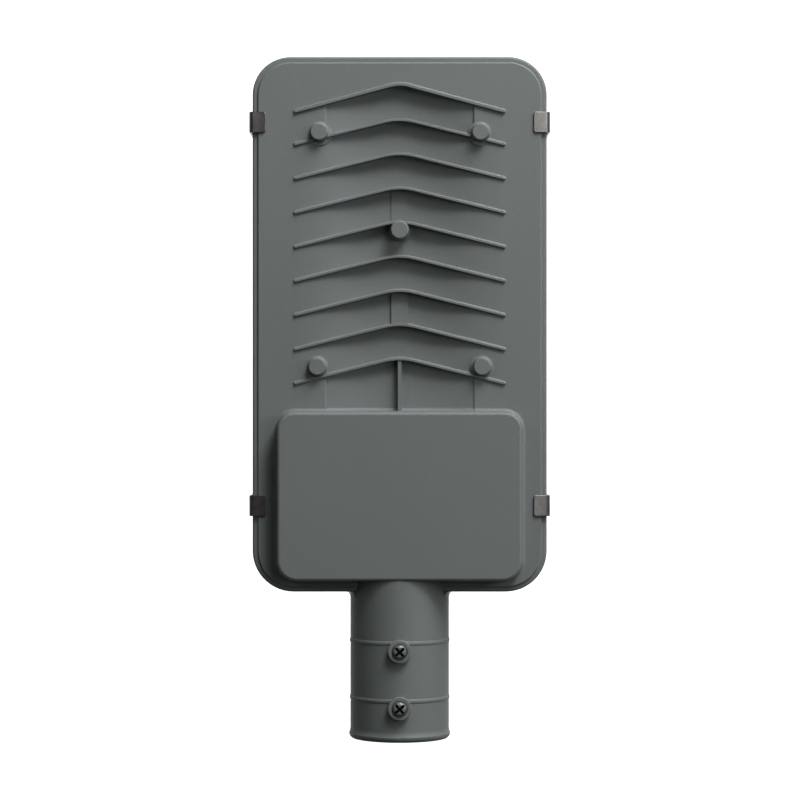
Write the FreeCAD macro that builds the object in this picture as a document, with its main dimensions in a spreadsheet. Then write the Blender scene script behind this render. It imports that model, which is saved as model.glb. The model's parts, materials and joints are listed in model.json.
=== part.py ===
import FreeCAD, Part
import math
import os
import Sketcher
from types import SimpleNamespace
from FreeCAD import Vector, Placement, Rotation

# LED street light head, seen in its own frame:
#   +Y runs from the mouth of the pole socket to the nose,
#   +Z is the sky side with the fins, -Z is the glass side,
#   the origin is the centre of the socket's mouth, on the socket's axis.
# Millimetres throughout.

os.makedirs("parts", exist_ok=True)
doc = FreeCAD.newDocument("street_light_head")

DIMS = {
    # casting, plan outline
    "body_half": 85.85, "rear_y": 86.4, "nose_y": 398.5,
    "nose_rad": 22.2, "tail_rad": 24.0,
    # casting, levels
    "rim_z": -15.0, "seat_z": -8.0, "flange_z": 14.7, "plate_z": 16.0,
    "edge_rad": 1.35, "rim_edge_rad": 1.2,
    "plate_half": 82.5, "plate_rear": 89.3, "plate_nose": 394.8,
    "plate_nose_rad": 18.7, "plate_tail_rad": 20.6,
    "step_root_rad": 0.6, "step_top_rad": 0.5,
    # dished floor between the fins
    "dish_flat": 8.0, "dish_half": 58.6, "dish_nose_y": 384.0, "dish_end_y": 190.0,
    "dish_deep": 5.8, "dish_shallow": 3.9, "dish_over": 4.0,
    "core_z": 7.0,
    # decks and low pads
    "deck_in": 43.6, "deck_out": 67.0, "deck_slope": 45.0, "slope_out": 41.9, "slope_in": 48.0, "slope_foot": 14.2,
    "slope_top": 15.98, "lip_rad": 6.3, "lip_foot": 12.6, "lip_back": 1.3,
    "pad_half": 4.9, "pad_a_z": 11.45, "pad_b_z": 12.7,
    # fins
    "fin_count": 8, "fin_pitch": 19.9, "fin_apex": 360.7, "fin_slope": 0.252,
    "fin_bend": 35.0, "fin_wide": 1.5, "fin_half": 61.5, "fin_top": 17.3,
    "fin_one_apex": 381.2, "fin_one_slope": 0.27, "fin_one_bend": 20.0,
    "fin_one_wide": 1.8, "fin_one_top": 17.7,
    "fin_root_rad": 0.9, "cell_root_rad": 0.6, "fin_edge_rad": 0.3,
    "rib_half": 1.0, "rib_taper": 4.0, "rib_top": 16.6,
    # driver box
    "box_half": 70.9, "box_rear": 93.7, "box_front": 191.2, "box_top": 29.9,
    "box_front_rad": 10.0, "box_tail_rad": 11.5, "box_draft": 3.0,
    "box_root_rad": 1.9, "box_edge_rad": 1.9,
    # round bosses
    "boss_top": 21.0, "boss_draft": 0.09, "boss_root_rad": 1.2, "boss_edge_rad": 0.7,
    "boss_up_x": 47.0, "boss_up_y": 354.2, "boss_up_rad": 4.9,
    "boss_mid_y": 297.2, "boss_mid_rad": 5.15,
    "boss_low_x": 48.0, "boss_low_y": 217.7, "boss_low_rad": 5.0,
    # pole socket
    "tube_rad": 29.0, "bore_rad": 25.0, "bore_depth": 84.4, "tube_end": 96.0,
    "mouth_rad": 29.75, "mouth_ridge_y": 3.1, "mouth_flare_y": 6.2,
    "bead_rise": 0.4, "bead_wide": 2.8, "bead_a_y": 57.4, "bead_b_y": 23.9,
    "screw_a_y": 53.0, "screw_b_y": 20.1, "screw_pad_rad": 6.7, "screw_pad_top": 32.3,
    "screw_pad_edge": 0.4, "screw_sink_rad": 4.65, "screw_sink": 1.0, "junction_rad": 4.0, "junction_half_angle": 27.0,
    # hollow of the casting
    "rim_wall": 2.0, "recess_rear": 88.9, "cavity_half": 79.85, "cavity_rear": 92.9,
    "cavity_nose": 392.5, "cavity_top": 12.5, "cut_from": -40.0,
    "island_half": 64.0, "island_rear": 190.0, "island_nose": 388.0, "led_face": 6.0,
    "bay_half": 69.0, "bay_rear": 97.0, "bay_front": 187.5, "bay_top": 27.2, "bay_rad": 8.0,
    "post_rad": 3.5, "post_x": 73.8, "post_rear_y": 117.0, "post_front_y": 193.0, "post_z": -3.0,
    "driver_boss_rad": 4.0, "driver_boss_z": 25.3, "earth_boss_rad": 5.0, "earth_boss_z": 22.0,
    "gland_z": 3.0, "gland_hole_rad": 6.1, "tap_three": 1.55, "tap_four": 2.05, "tap_five": 2.55,
    "tap_deep": 3.0,
    # glass and gasket
    "gasket_gap": 0.25, "gasket_wall": 1.5, "gasket_lip": 4.0,
    "glass_thick": 4.0,
    # clips
    "clip_thick": 1.2, "clip_out": 87.7, "clip_in": 78.1, "clip_wide": 12.2,
    "clip_bend": 2.5, "clip_corner": 1.4, "clip_edge": 0.4, "clip_front_y": 360.15, "clip_rear_y": 136.75,
    # led engine
    "pad_thick": 0.3, "board_half": 60.0, "board_rear": 206.0, "board_nose": 384.0,
    "board_thick": 1.6, "chip_side": 3.0, "chip_thick": 0.8,
    "lens_half": 53.0, "lens_rear": 210.0, "lens_nose": 380.0, "lens_gap": 1.1, "lens_thick": 2.0,
    "lens_rim": 1.6, "dome_rad": 7.5, "dome_rise": 4.4,
    "col_pitch": 17.6, "row_pitch": 21.0, "row_first": 221.5, "board_screw_x": 56.5,
    "board_screw_rear": 213.0, "board_screw_pitch": 82.0,
    # driver and its bay
    "driver_left": -56.0, "driver_right": 36.0, "driver_rear": 118.0, "driver_front": 182.0,
    "driver_low": 5.0, "driver_high": 26.7, "driver_ear": 8.0, "driver_ear_thick": 2.0,
    "driver_ear_y": 150.0, "driver_ear_half": 9.0,
    "block_left": 50.0, "block_right": 64.0, "block_rear": 118.0, "block_front": 160.0, "block_low": 14.0,
    "earth_x": 57.0, "earth_y": 176.0, "block_hole_rear": 122.0, "block_hole_front": 156.0,
    "tray_half": 78.2, "tray_rear": 111.0, "tray_front": 199.0, "tray_thick": 1.0,
    "lead_rad": 1.1, "lead_x": -20.0, "lead_pitch": 8.0, "lead_bend": 3.0, "lead_drop": 9.0,
    "mains_z": 20.0, "mains_y": 129.0, "mains_pitch": 10.0,
    "lug_rad": 4.2, "lug_thick": 1.0, "lug_barrel": 1.9, "lug_start": 167.0,
    "screw_head_rad": 4.15, "screw_head_tall": 2.8, "screw_seat_z": 31.3, "screw_shank_rad": 2.5,
    "screw_tip_z": 25.4, "cross_half": 3.35, "cross_wide": 0.8, "cross_deep": 2.0, "cross_turn": 42.0,
    "three_head_rad": 2.75, "three_head_tall": 2.0, "three_rad": 1.5,
    "four_head_rad": 3.6, "four_rad": 2.0,
    "gland_hex": 8.66, "gland_rad": 6.0, "gland_bore": 3.5, "seal_thick": 1.2, "seal_rad": 8.4,
    "gland_hex_tall": 4.0, "gland_nose": 6.0, "gland_nut_rad": 7.8, "gland_nut_tall": 9.5,
}

sheet = doc.addObject("Spreadsheet::Sheet", "Dims")
for row, (key, value) in enumerate(DIMS.items(), 1):
    sheet.set("A%d" % row, key)
    sheet.set("B%d" % row, str(value))
    sheet.setAlias("B%d" % row, key)
doc.recompute()


class Q:
    """A length that knows its number and the sheet formula it comes from."""

    def __init__(self, v, t):
        self.v = float(v)
        self.t = t

    @staticmethod
    def of(other):
        return other if isinstance(other, Q) else Q(other, repr(float(other)))

    def __add__(self, o):
        o = Q.of(o)
        return Q(self.v + o.v, "(%s + %s)" % (self.t, o.t))

    def __radd__(self, o):
        return Q.of(o) + self

    def __sub__(self, o):
        o = Q.of(o)
        return Q(self.v - o.v, "(%s - %s)" % (self.t, o.t))

    def __rsub__(self, o):
        return Q.of(o) - self

    def __mul__(self, o):
        o = Q.of(o)
        return Q(self.v * o.v, "(%s * %s)" % (self.t, o.t))

    def __rmul__(self, o):
        return Q.of(o) * self

    def __truediv__(self, o):
        o = Q.of(o)
        return Q(self.v / o.v, "(%s / %s)" % (self.t, o.t))

    def __rtruediv__(self, o):
        return Q.of(o) / self

    def __neg__(self):
        return Q(-self.v, "(0 - %s)" % self.t)


def root(q):
    return Q(math.sqrt(q.v), "sqrt(%s)" % q.t)


D = SimpleNamespace(**{k: Q(getattr(sheet, k), "Dims." + k) for k in DIMS})
ZERO = Q(0, "0")


def origin_plane(body, role):
    for item in body.Origin.OriginFeatures:
        if item.Role == role:
            return item


def new_body(label):
    body = doc.addObject("PartDesign::Body", label)
    body.Label = label
    return body


def new_sketch(body, name, role="XY_Plane", level=None, tilt=None):
    sk = body.newObject("Sketcher::SketchObject", name)
    sk.AttachmentSupport = [(origin_plane(body, role), "")]
    sk.MapMode = "FlatFace"
    if tilt is not None:
        sk.AttachmentOffset = Placement(Vector(0, 0, 0), Rotation(Vector(1, 0, 0), tilt))
    if level is not None:
        level = Q.of(level)
        # the XZ plane of the origin faces -Y, so a station Y is a negative offset
        sk.setExpression("AttachmentOffset.Base.z", (-level).t if role == "XZ_Plane" else level.t)
    return sk


def bind(sk, index, name, q):
    sk.renameConstraint(index, name)
    sk.setExpression("Constraints." + name, q.t)


def pin(sk, geo, pos, x, y, tag):
    if abs(x.v) < 1e-9:
        sk.addConstraint(Sketcher.Constraint("PointOnObject", geo, pos, -2))
    else:
        bind(sk, sk.addConstraint(Sketcher.Constraint("DistanceX", -1, 1, geo, pos, x.v)), "x" + tag, x)
    if abs(y.v) < 1e-9:
        sk.addConstraint(Sketcher.Constraint("PointOnObject", geo, pos, -1))
    else:
        bind(sk, sk.addConstraint(Sketcher.Constraint("DistanceY", -1, 1, geo, pos, y.v)), "y" + tag, y)


def outline(sk, points, arcs=None, tag=""):
    """A closed chain through points. arcs maps an edge's number to
    (radius, side) with side +1 for a centre left of the way along the edge,
    or (radius, side, centre_x) for a half turn held by its centre."""
    arcs = arcs or {}
    n = len(points)
    first = None
    ends = []
    for i in range(n):
        a = Vector(points[i][0].v, points[i][1].v, 0)
        b = Vector(points[(i + 1) % n][0].v, points[(i + 1) % n][1].v, 0)
        if i in arcs:
            radius, side = arcs[i][0], arcs[i][1]
            chord = b - a
            left = Vector(-chord.y, chord.x, 0).normalize()
            reach = math.sqrt(max(radius.v ** 2 - (chord.Length / 2) ** 2, 0.0))
            centre = (a + b) * 0.5 + left * reach * side
            if side > 0:
                s, e, ps, pe = a, b, 1, 2
            else:
                s, e, ps, pe = b, a, 2, 1
            t0 = math.atan2(s.y - centre.y, s.x - centre.x)
            t1 = math.atan2(e.y - centre.y, e.x - centre.x)
            while t1 <= t0:
                t1 += 2 * math.pi
            geo = sk.addGeometry(Part.ArcOfCircle(Part.Circle(centre, Vector(0, 0, 1), radius.v), t0, t1), False)
            ends.append((geo, ps, pe))
        else:
            geo = sk.addGeometry(Part.LineSegment(a, b), False)
            ends.append((geo, 1, 2))
    for i in range(n):
        nxt = ends[(i + 1) % n]
        sk.addConstraint(Sketcher.Constraint("Coincident", ends[i][0], ends[i][2], nxt[0], nxt[1]))
    for i in range(n):
        pin(sk, ends[i][0], ends[i][1], points[i][0], points[i][1], "%s%d" % (tag, i))
    for i, arc in arcs.items():
        geo = ends[i][0]
        if len(arc) == 3:
            bind(sk, sk.addConstraint(Sketcher.Constraint("DistanceX", -1, 1, geo, 3, arc[2].v)), "c%s%d" % (tag, i), arc[2])
        else:
            bind(sk, sk.addConstraint(Sketcher.Constraint("Radius", geo, arc[0].v)), "r%s%d" % (tag, i), arc[0])


def round_rect(sk, x0, x1, y0, y1, r_rear, r_nose, tag=""):
    """Rounded rectangle, anticlockwise from its rear edge."""
    a, b = Q.of(r_rear), Q.of(r_nose)
    pts = [(x0 + a, y0), (x1 - a, y0), (x1, y0 + a), (x1, y1 - b),
           (x1 - b, y1), (x0 + b, y1), (x0, y1 - b), (x0, y0 + a)]
    outline(sk, pts, {1: (a, 1), 3: (b, 1), 5: (b, 1), 7: (a, 1)}, tag)


def rect(sk, x0, x1, y0, y1, tag=""):
    outline(sk, [(x0, y0), (x1, y0), (x1, y1), (x0, y1)], None, tag)


def circle(sk, x, y, r, tag=""):
    geo = sk.addGeometry(Part.Circle(Vector(x.v, y.v, 0), Vector(0, 0, 1), r.v), False)
    if abs(x.v) < 1e-9 and abs(y.v) < 1e-9:
        sk.addConstraint(Sketcher.Constraint("Coincident", geo, 3, -1, 1))
    else:
        pin(sk, geo, 3, x, y, "o" + tag)
    bind(sk, sk.addConstraint(Sketcher.Constraint("Radius", geo, r.v)), "ro" + tag, r)


merge = [True]


def pad(body, name, sk, length, taper=None, back=False):
    f = body.newObject("PartDesign::Pad", name)
    f.Profile = sk
    f.Refine = merge[0]
    f.setExpression("Length", Q.of(length).t)
    f.Reversed = back
    if taper is not None:
        f.setExpression("TaperAngle", taper.t)
    doc.recompute()
    return f


def pocket(body, name, sk, length, back=False):
    before = body.Shape.Volume
    f = body.newObject("PartDesign::Pocket", name)
    f.Profile = sk
    f.setExpression("Length", Q.of(length).t)
    f.Reversed = back
    doc.recompute()
    if not f.Shape.Volume < before - 1e-3:
        raise RuntimeError("pocket cut nothing: " + name)
    return f


def revolve(body, name, sk, axis="V_Axis", angle=360.0, mid=False):
    f = body.newObject("PartDesign::Revolution", name)
    f.Profile = sk
    f.Refine = merge[0]
    f.ReferenceAxis = (sk, [axis])
    f.Angle = angle
    f.Midplane = mid
    doc.recompute()
    return f


def edges_where(shape, place, test):
    """Names of the edges whose midpoint passes place and whose two faces,
    by their outward normals, pass test."""
    found = []
    for i, e in enumerate(shape.Edges, 1):
        t = (e.FirstParameter + e.LastParameter) / 2
        m = e.valueAt(t)
        if not place(m):
            continue
        faces = shape.ancestorsOfType(e, Part.Face)
        if len(faces) != 2:
            continue
        normals = []
        for face in faces:
            u, v = face.Surface.parameter(m)
            normals.append(face.normalAt(u, v))
        along = e.tangentAt(t)
        inward = along.cross(normals[0])
        probe = m + inward * 0.05
        if faces[0].distToShape(Part.Vertex(probe))[0] > 1e-3:
            inward = inward * -1
        concave = inward.dot(normals[1]) > 0
        turn = math.degrees(normals[0].getAngle(normals[1]))
        if turn > 25 and test(normals, concave):
            found.append("Edge%d" % i)
    return found


def fillet(body, name, base, names, radius):
    f = body.newObject("PartDesign::Fillet", name)
    f.Base = (base, names)
    f.setExpression("Radius", Q.of(radius).t)
    doc.recompute()
    if f.Shape.isNull() or not f.Shape.isValid() or "Invalid" in f.State:
        raise RuntimeError("fillet failed: " + name)
    return f


def foot(normals, concave):
    """An inner corner between a wall and a floor."""
    return concave and any(abs(k.z) < 0.25 for k in normals) and any(k.z > 0.8 for k in normals)


def fin_foot(normals, concave):
    """The foot of a fin's rear wall."""
    return foot(normals, concave) and any(k.y < -0.8 for k in normals)


def outer(normals, concave):
    return not concave


def inner(normals, concave):
    return concave


def at_level(z):
    return lambda m: abs(m.z - z.v) < 0.01


# ---------------------------------------------------------------- housing
# One casting: flanged plate, dished floor with nine chevron fins, five round
# bosses, driver box and pole socket, hollow on the glass side.
housing = new_body("housing")

s = new_sketch(housing, "FlangeOutline", level=D.rim_z)
round_rect(s, -D.body_half, D.body_half, D.rear_y, D.nose_y, D.tail_rad, D.nose_rad)
flange = pad(housing, "Flange", s, D.flange_z - D.rim_z)

s = new_sketch(housing, "PlateOutline", level=D.core_z)
round_rect(s, -D.plate_half, D.plate_half, D.plate_rear, D.plate_nose, D.plate_tail_rad, D.plate_nose_rad)
plate = pad(housing, "Plate", s, D.plate_z - D.core_z)

names = edges_where(plate.Shape, at_level(D.flange_z), outer)
fl = fillet(housing, "FlangeEdge", plate, names, D.edge_rad)
names = edges_where(fl.Shape, at_level(D.flange_z), inner)
fl = fillet(housing, "StepRoot", fl, names, D.step_root_rad)
names = edges_where(fl.Shape, at_level(D.plate_z), outer)
fl = fillet(housing, "StepTop", fl, names, D.step_top_rad)
names = edges_where(fl.Shape, at_level(D.rim_z), outer)
fl = fillet(housing, "RimEdge", fl, names, D.rim_edge_rad)

# the floor between the fins sinks in a soft double curve towards the middle,
# level with the plate at its sides, and is deeper at the nose
def dish_section(name, y, depth):
    sk = new_sketch(housing, name, "XZ_Plane", y)
    f, h, z = D.dish_flat, D.dish_half, D.plate_z
    bend = ((h - f) * (h - f) / 4 + depth * depth / 4) / depth
    m = (f + h) / 2
    outline(sk, [(-f, z - depth), (f, z - depth), (m, z - depth / 2), (h, z), (h, z + D.dish_over),
                 (-h, z + D.dish_over), (-h, z), (-m, z - depth / 2)],
            {1: (bend, 1), 2: (bend, -1), 6: (bend, -1), 7: (bend, 1)})
    return sk


before = housing.Shape.Volume
s1 = dish_section("DishNoseSection", D.dish_nose_y, D.dish_deep)
s2 = dish_section("DishEndSection", D.dish_end_y, D.dish_shallow)
dish = housing.newObject("PartDesign::SubtractiveLoft", "Dish")
dish.Profile = s1
dish.Sections = [s2]
dish.Ruled = True
doc.recompute()
if not dish.Shape.Volume < before - 1:
    raise RuntimeError("the dish cut nothing")

# flat decks at plate level round the dish
s = new_sketch(housing, "NoseDeckOutline", level=D.core_z)
nose_line = D.fin_one_apex + 1.2
outline(s, [(-D.deck_out, nose_line - D.deck_out * D.fin_one_slope), (ZERO, nose_line),
            (D.deck_out, nose_line - D.deck_out * D.fin_one_slope),
            (D.deck_out, D.dish_nose_y + 6), (-D.deck_out, D.dish_nose_y + 6)])
pad(housing, "NoseDeck", s, D.plate_z - D.core_z)
mid_two = D.fin_apex + 1.1
for sign, word in ((1, "Right"), (-1, "Left")):
    s = new_sketch(housing, "UpperDeckOutline" + word, level=D.core_z)
    a, b = D.deck_in * sign, D.deck_out * sign
    outline(s, [(a, nose_line - D.deck_in * D.fin_one_slope), (b, nose_line - D.deck_out * D.fin_one_slope),
                (b, mid_two - D.deck_out * D.fin_slope), (a, mid_two - D.deck_in * D.fin_slope)])
    pad(housing, "UpperDeck" + word, s, D.plate_z - D.core_z)
last_mid = D.fin_apex - D.fin_pitch * 7 + 1.1
for sign, word in ((1, "Right"), (-1, "Left")):
    s = new_sketch(housing, "LowerDeckOutline" + word, level=D.core_z)
    a, b = D.deck_in * sign, D.deck_out * sign
    outline(s, [(a, last_mid - D.deck_in * D.fin_slope), (b, last_mid - D.deck_out * D.fin_slope),
                (b, D.box_front - 4), (a, D.box_front - 4)])
    pad(housing, "LowerDeck" + word, s, D.plate_z - D.core_z)

# driver box, drafted
s = new_sketch(housing, "BoxOutline", level=D.core_z)
grow = (D.box_top - D.core_z) * math.tan(math.radians(D.box_draft.v))
round_rect(s, -D.box_half - grow, D.box_half + grow, D.box_rear - grow, D.box_front + grow,
           D.box_tail_rad + grow, D.box_front_rad + grow)
box = pad(housing, "DriverBox", s, D.box_top - D.core_z, taper=-D.box_draft)

# soft foot and top edge of the box
box_line = D.box_front.v + 1.5
names = edges_where(box.Shape, lambda m: abs(m.z - D.plate_z.v) < 0.01 and D.plate_rear.v + 1 < m.y < box_line, foot)
fl = fillet(housing, "BoxRoot", box, names, D.box_root_rad)
names = edges_where(fl.Shape, lambda m: m.z > D.box_top.v - 0.01, outer)
fl = fillet(housing, "BoxEdge", fl, names, D.box_edge_rad)
names = edges_where(fl.Shape, lambda m: abs(m.x) < D.deck_in.v and m.z < D.plate_z.v - 1
                    and D.box_front.v < m.y < D.box_front.v + 2, foot)
fillet(housing, "BoxFrontRoot", fl, names, D.box_root_rad)

# pole socket: tube with two narrow beads and a rolled mouth
bead_bend = (D.bead_wide * D.bead_wide / 4 + D.bead_rise * D.bead_rise) / (2 * D.bead_rise)
hb = D.bead_wide / 2
s = new_sketch(housing, "TubeProfile")
outline(s, [(ZERO, ZERO), (D.tube_rad - 0.9, ZERO), (D.mouth_rad, D.mouth_ridge_y), (D.tube_rad, D.mouth_flare_y),
            (D.tube_rad, D.bead_b_y - hb), (D.tube_rad, D.bead_b_y + hb),
            (D.tube_rad, D.bead_a_y - hb), (D.tube_rad, D.bead_a_y + hb),
            (D.tube_rad, D.tube_end), (ZERO, D.tube_end)],
        {1: (Q.of(3.2), 1), 2: (Q.of(7.0), -1), 4: (bead_bend, 1), 6: (bead_bend, 1)})
revolve(housing, "Tube", s)

# soft join of the tube with the rear wall, on both sides
for sign, word in ((1, "Right"), (-1, "Left")):
    s = new_sketch(housing, "JoinProfile" + word)
    g = D.junction_rad
    outline(s, [(sign * (D.tube_rad - 1), D.rear_y - g), (sign * D.tube_rad, D.rear_y - g),
                (sign * (D.tube_rad + g), D.rear_y), (sign * (D.tube_rad + g), D.rear_y + 1),
                (sign * (D.tube_rad - 1), D.rear_y + 1)], {1: (g, -sign)})
    f = revolve(housing, "Join" + word, s, angle=2 * D.junction_half_angle.v, mid=True)
    f.setExpression("Angle", "2 * Dims.junction_half_angle")
    doc.recompute()

# two round pads on the tube's crest for the clamping screws
s = new_sketch(housing, "ScrewPadOutline", level=D.tube_rad - 14)
circle(s, ZERO, D.screw_a_y, D.screw_pad_rad, "a")
circle(s, ZERO, D.screw_b_y, D.screw_pad_rad, "b")
f = pad(housing, "ScrewPads", s, D.screw_pad_top - D.tube_rad + 14)
names = edges_where(f.Shape, at_level(D.screw_pad_top), outer)
fillet(housing, "ScrewPadEdge", f, names, D.screw_pad_edge)

s = new_sketch(housing, "BoreOutline", "XZ_Plane")
circle(s, ZERO, ZERO, D.bore_rad)
pocket(housing, "Bore", s, D.bore_depth)
s = new_sketch(housing, "ScrewHoleOutline", level=D.tube_rad - 14)
circle(s, ZERO, D.screw_a_y, D.tap_five, "a")
circle(s, ZERO, D.screw_b_y, D.tap_five, "b")
pocket(housing, "ScrewHoles", s, Q.of(30), back=True)
s = new_sketch(housing, "ScrewSinkOutline", level=D.screw_pad_top - D.screw_sink)
circle(s, ZERO, D.screw_a_y, D.screw_sink_rad, "a")
circle(s, ZERO, D.screw_b_y, D.screw_sink_rad, "b")
pocket(housing, "ScrewSinks", s, D.screw_sink + 3, back=True)

# underside: seat for the glass and its gasket, then the hollow
s = new_sketch(housing, "SeatOutline", level=D.cut_from)
seat_half = D.body_half - D.rim_wall
round_rect(s, -seat_half, seat_half, D.recess_rear, D.nose_y - D.rim_wall, D.tail_rad - 2.5, D.nose_rad - 2)
pocket(housing, "GlassSeat", s, D.seat_z - D.cut_from, back=True)
s = new_sketch(housing, "HollowOutline", level=D.cut_from)
round_rect(s, -D.cavity_half, D.cavity_half, D.cavity_rear, D.cavity_nose, D.tail_rad - 6, D.nose_rad - 6)
pocket(housing, "Hollow", s, D.led_face - D.cut_from, back=True)
s = new_sketch(housing, "HollowRingOutline", level=D.cut_from)
round_rect(s, -D.cavity_half, D.cavity_half, D.cavity_rear, D.cavity_nose, D.tail_rad - 6, D.nose_rad - 6, "o")
round_rect(s, -D.island_half, D.island_half, D.island_rear, D.island_nose, 6, 10, "i")
pocket(housing, "HollowRing", s, D.cavity_top - D.cut_from, back=True)
s = new_sketch(housing, "BayOutline", level=D.cut_from)
round_rect(s, -D.bay_half, D.bay_half, D.bay_rear, D.bay_front, D.bay_rad, D.bay_rad)
pocket(housing, "DriverBay", s, D.bay_top - D.cut_from, back=True)

# posts and bosses inside
s = new_sketch(housing, "PostOutline", level=D.post_z)
for tag, x, y in (("a", -D.post_x, D.post_rear_y), ("b", D.post_x, D.post_rear_y),
                  ("c", -D.post_x, D.post_front_y), ("d", D.post_x, D.post_front_y)):
    circle(s, x, y, D.post_rad, tag)
pad(housing, "Posts", s, D.cavity_top + 0.5 - D.post_z)
s = new_sketch(housing, "DriverBossOutline", level=D.driver_boss_z)
ear_left, ear_right = D.driver_left - D.driver_ear / 2, D.driver_right + D.driver_ear / 2
circle(s, ear_left, D.driver_ear_y, D.driver_boss_rad, "a")
circle(s, ear_right, D.driver_ear_y, D.driver_boss_rad, "b")
pad(housing, "DriverBosses", s, D.bay_top + 0.5 - D.driver_boss_z)
s = new_sketch(housing, "EarthBossOutline", level=D.earth_boss_z)
circle(s, D.earth_x, D.earth_y, D.earth_boss_rad)
pad(housing, "EarthBoss", s, D.bay_top + 0.5 - D.earth_boss_z)

# tapped and plain holes inside
s = new_sketch(housing, "PostHoleOutline", level=D.post_z - 1)
for tag, x, y in (("a", -D.post_x, D.post_rear_y), ("b", D.post_x, D.post_rear_y),
                  ("c", -D.post_x, D.post_front_y), ("d", D.post_x, D.post_front_y)):
    circle(s, x, y, D.tap_three, tag)
pocket(housing, "PostHoles", s, Q.of(9), back=True)
s = new_sketch(housing, "BoardHoleOutline", level=D.led_face - 1)
for i in range(3):
    for sign in (-1, 1):
        circle(s, sign * D.board_screw_x, D.board_screw_rear + D.board_screw_pitch * i, D.tap_three, "p%d%d" % (i, sign + 1))
pocket(housing, "BoardHoles", s, D.tap_deep + 1.2, back=True)
s = new_sketch(housing, "DriverHoleOutline", level=D.driver_boss_z - 1)
circle(s, ear_left, D.driver_ear_y, D.tap_three, "a")
circle(s, ear_right, D.driver_ear_y, D.tap_three, "b")
pocket(housing, "DriverHoles", s, D.tap_deep + 1.2, back=True)
s = new_sketch(housing, "EarthHoleOutline", level=D.earth_boss_z - 1)
circle(s, D.earth_x, D.earth_y, D.tap_four)
pocket(housing, "EarthHole", s, Q.of(6), back=True)
block_x = (D.block_left + D.block_right) / 2
s = new_sketch(housing, "BlockHoleOutline", level=D.bay_top - 1)
circle(s, block_x, D.block_hole_rear, D.tap_three, "a")
circle(s, block_x, D.block_hole_front, D.tap_three, "b")
pocket(housing, "BlockHoles", s, Q.of(2.8), back=True)
s = new_sketch(housing, "GlandHoleOutline", "XZ_Plane", D.bore_depth - 2)
circle(s, ZERO, D.gland_z, D.gland_hole_rad)
pocket(housing, "GlandHole", s, D.cavity_rear - D.bore_depth + 4)

# thin upright rib between the last fin and the box
s = new_sketch(housing, "RibOutline", level=D.core_z)
rib_grow = (D.rib_top - D.core_z) * math.tan(math.radians(D.rib_taper.v))
rect(s, -D.rib_half - rib_grow, D.rib_half + rib_grow, D.box_front - 4, last_mid)
pad(housing, "Rib", s, D.rib_top - D.core_z, taper=-D.rib_taper)


def chevron(sk, apex, slope, bend, wide, half):
    """Fin outline: two straight arms meeting in a bend, round tips."""
    run = root(1 + slope * slope)
    nx, ny = slope / run, 1 / run          # unit normal of the right arm
    outer = bend + wide
    cy = apex - bend
    tip = half - wide / 2                   # x of the tip's centre
    # arm line through the bend's lower and upper tangent points
    def at(radius, x):
        px, py = nx * radius, cy + ny * radius
        return py - (x - px) * slope
    lx, ux = tip - nx * wide / 2, tip + nx * wide / 2
    pts = [(nx * bend, cy + ny * bend), (lx, at(bend, lx)), (ux, at(outer, ux)),
           (nx * outer, cy + ny * outer), (-(nx * outer), cy + ny * outer), (-ux, at(outer, ux)),
           (-lx, at(bend, lx)), (-(nx * bend), cy + ny * bend)]
    outline(sk, pts, {1: (wide / 2, 1, tip), 3: (outer, 1), 5: (wide / 2, 1, -tip), 7: (bend, -1)})


s = new_sketch(housing, "FinOneOutline", level=D.core_z)
chevron(s, D.fin_one_apex, D.fin_one_slope, D.fin_one_bend, D.fin_one_wide, D.fin_half)
pad(housing, "FinOne", s, D.fin_one_top - D.core_z)
s = new_sketch(housing, "FinOutline", level=D.core_z)
chevron(s, D.fin_apex, D.fin_slope, D.fin_bend, D.fin_wide, D.fin_half)
fin = pad(housing, "Fin", s, D.fin_top - D.core_z)
row = housing.newObject("PartDesign::LinearPattern", "FinRow")
row.Originals = [fin]
row.Direction = (s, ["V_Axis"])
row.Reversed = True
row.setExpression("Length", "Dims.fin_pitch * (Dims.fin_count - 1)")
row.setExpression("Occurrences", "Dims.fin_count")
housing.Tip = row
doc.recompute()

# soft feet and top edges of the fins
def below_last_fin(m):
    """Inside the two cells between the last fin, the rib and the box."""
    apex = D.fin_apex.v - D.fin_pitch.v * (D.fin_count.v - 1)
    bend, k, a = D.fin_bend.v, D.fin_slope.v, abs(m.x)
    run = math.sqrt(1 + k * k)
    if a < bend * k / run:
        line = apex - bend + math.sqrt(bend * bend - a * a)
    else:
        line = apex - bend + bend / run - (a - bend * k / run) * k
    return a < D.deck_in.v + 0.1 and m.y < line + 0.3


def on_floor(m):
    return D.core_z.v < m.z < D.plate_z.v + 0.01 and m.y > D.box_front.v - 1 and abs(m.x) < D.deck_out.v + 1


names = edges_where(row.Shape, lambda m: on_floor(m) and not below_last_fin(m), foot)
fl = fillet(housing, "FinRoots", row, names, D.fin_root_rad)
names = edges_where(fl.Shape, lambda m: on_floor(m) and below_last_fin(m), fin_foot)
fl = fillet(housing, "CellRoots", fl, names, D.cell_root_rad)
names = edges_where(fl.Shape, lambda m: D.fin_top.v - 0.01 < m.z < D.fin_one_top.v + 0.01 and m.y > box_line, outer)
fl = fillet(housing, "FinEdges", fl, names, D.fin_edge_rad)

merge[0] = False
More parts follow.
